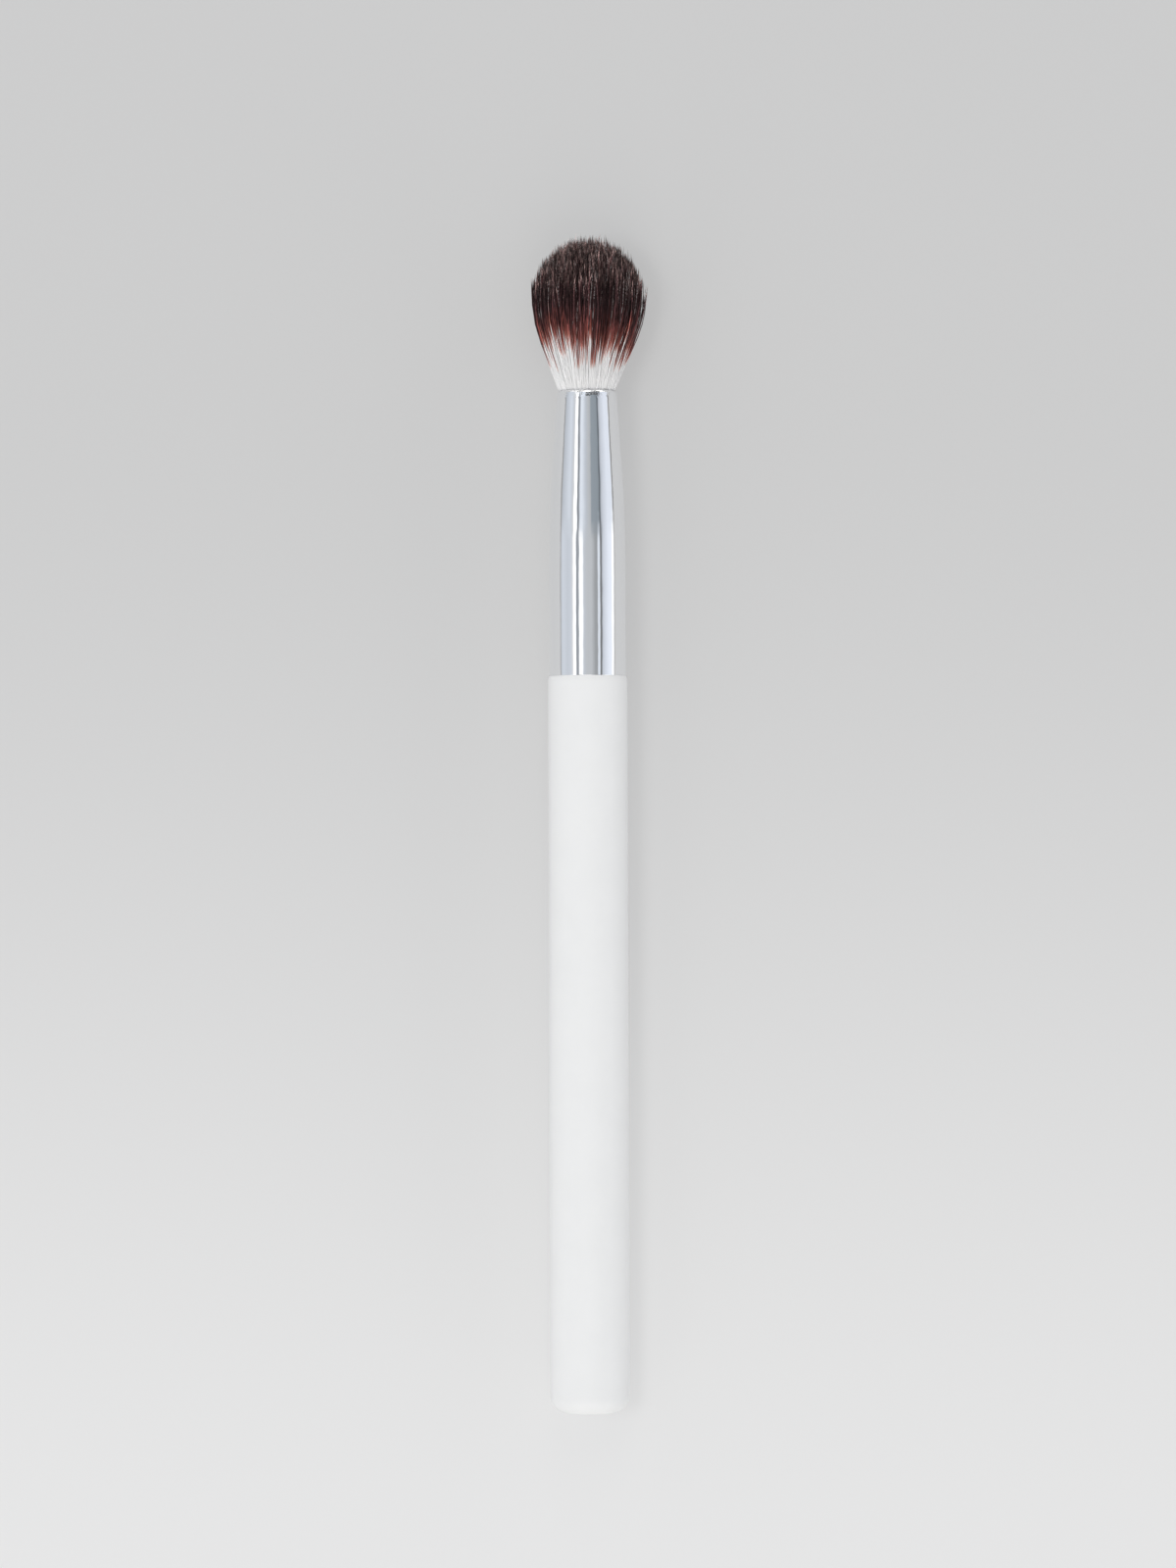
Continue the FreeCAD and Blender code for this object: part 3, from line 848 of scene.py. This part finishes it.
def make_tuft(finish):
    """The tuft, in three pieces from its middle outwards."""
    rng = np.random.default_rng(SEED)
    roots = disc_places(HAIR_COUNT) + rng.normal(0, ROOT_JITTER, (HAIR_COUNT, 2))
    locks = disc_places(LOCK_COUNT) + rng.normal(0, LOCK_JITTER, (LOCK_COUNT, 2))
    lock = nearest_lock(roots, locks)
    locks += rng.normal(0, LOCK_LEAN, (LOCK_COUNT, 2))
    pull = rng.uniform(*LOCK_PULL, LOCK_COUNT)[lock][:, None]
    crossing = rng.random(HAIR_COUNT) < CROSSING_SHARE
    wander = np.where(crossing, CROSSING_JITTER, TIP_JITTER)[:, None]
    tips = roots + (locks[lock] - roots) * pull + rng.normal(0, 1, (HAIR_COUNT, 2)) * wander
    tips /= np.maximum(np.hypot(*tips.T), 1.0)[:, None]
    gather = np.where(crossing, CROSSING_GATHER, LOCK_GATHER)

    reach = np.hypot(*roots.T)
    splay = rng.normal(0.0, SPLAY, HAIR_COUNT)
    stray = rng.choice(np.flatnonzero(reach > STRAY_REACH), STRAY_COUNT, replace=False)
    splay[stray] = rng.uniform(*STRAY_SPLAY, STRAY_COUNT)
    longer = rng.normal(LONGEST, LOCK_LENGTH_SPREAD, LOCK_COUNT)[lock]
    longer -= rng.gamma(SHORTER_SHAPE, SHORTER_SCALE, HAIR_COUNT)
    paths = hair_paths(rng, roots, tips, longer, splay, gather)
    lanes = hair_lanes(rng, roots, lock, stray)
    spin = rng.uniform(0, 2 * math.pi, HAIR_COUNT)
    for name, (inside, outside) in TUFT_PIECES.items():
        chosen = (reach >= inside) & (reach < outside)
        mesh = hair_mesh(name, paths[chosen], lanes[chosen], spin[chosen])
        new_piece(name, mesh, finish, "hair_tuft")


def lay_table(finish):
    """The table under the brush, which lies on the butt's edge and on the tuft's belly."""
    slope = (BELLY_RADIUS - HANDLE_RADIUS) / (BELLY - BUTT_ROUND)
    drop = HANDLE_RADIUS - BUTT_ROUND * slope
    reach = TABLE_SIZE / 2
    corners = [(-reach, -reach), (reach, -reach), (reach, reach), (-reach, reach)]
    points = [(x, y, -drop - y * slope) for x, y in corners]
    mesh = bpy.data.meshes.new("table")
    mesh.from_pydata(points, [], [(0, 1, 2, 3)])
    mesh.materials.append(finish)
    table = bpy.data.objects.new("table", mesh)
    bpy.context.scene.collection.objects.link(table)


def tent_stops(strips):
    """A tent's strips as a ramp's stops over the full turn, divided by the power it is lit with."""
    return [
        (0.5 + degrees / 360, tuple(level * part / TENT_POWER for part in tint) + (1.0,))
        for degrees, level, tint in strips
    ]


def light_studio():
    """A light tent with strips along the brush, and a soft key light from the left."""
    world = bpy.data.worlds.new("light_tent")
    bpy.context.scene.world = world
    world.use_nodes = True
    world.node_tree.nodes.clear()
    tree = Tree(world.node_tree)
    way = tree.node("SeparateXYZ", None, {0: tree.node("TexCoord").output("Generated")})
    lean = way.output("Y")
    turn = way.maths("ARCTAN2", way, way.output("Z")) / (2 * math.pi) + 0.5
    sleeve, cone, mouth, end = (
        tree.ramp(turn, tent_stops(strips)) for strips in (SLEEVE_TENT, CONE_TENT, MOUTH_TENT, END_TENT)
    )
    end_level = BUTT_END_LEVEL + (lean > 0) * (TUFT_END_LEVEL - BUTT_END_LEVEL)
    at_end = tree.step(lean, *TUFT_END_LEAN) + tree.step(lean, *BUTT_END_LEAN)
    sides = tree.mix(tree.step(lean, *CONE_LEAN), sleeve, cone)
    sides = tree.mix(tree.step(lean, *MOUTH_LEAN), sides, mouth)
    tent = tree.mix(at_end, sides, tree.dimmed(end, end_level))
    inside = tree.node("Background", None, {"Color": tent, "Strength": TENT_POWER})
    plain = tree.node("Background", None, {"Color": grey(BACKDROP), "Strength": 1.0})
    seen = tree.node("LightPath").output("Is Camera Ray")
    light = tree.node("MixShader", None, {0: seen, 1: inside, 2: plain})
    tree.node("OutputWorld", None, {"Surface": light})

    lamp = bpy.data.lights.new("key_softbox", "AREA")
    lamp.shape = "SQUARE"
    lamp.size = KEY_SIZE
    lamp.energy = KEY_POWER
    key = bpy.data.objects.new("key_softbox", lamp)
    key.location = KEY_PLACE
    key.rotation_euler = (0, math.atan2(KEY_PLACE[0], KEY_PLACE[2]), 0)
    key.visible_glossy = False
    key.visible_camera = False
    bpy.context.scene.collection.objects.link(key)


def set_camera():
    """A camera straight above the brush, as in the photograph."""
    lens = bpy.data.cameras.new("camera")
    lens.lens = CAMERA_LENS
    camera = bpy.data.objects.new("camera", lens)
    camera.location = (0, CAMERA_STATION, CAMERA_HEIGHT)
    camera.rotation_euler = (0, 0, CAMERA_ROLL)
    bpy.context.scene.collection.objects.link(camera)
    bpy.context.scene.camera = camera


def dress_node(node, finish):
    """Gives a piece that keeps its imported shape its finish."""
    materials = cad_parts[node].data.materials
    materials.clear()
    materials.append(finish)


bpy.context.scene.view_settings.view_transform = "Standard"
set_camera()
light_studio()
lay_table(pale_table())
dress_node("handle", white_lacquer())
dress_node("ferrule_glue", clear_adhesive())
dress_node("tuft_binding", binding_thread())
dress_node("root_glue", amber_resin())
ferrule_mesh = turned("ferrule_tube", ferrule_outline(), FERRULE_SIDES)
new_piece("ferrule_tube", ferrule_mesh, bright_plating(), "ferrule")
make_tuft(brush_hair())
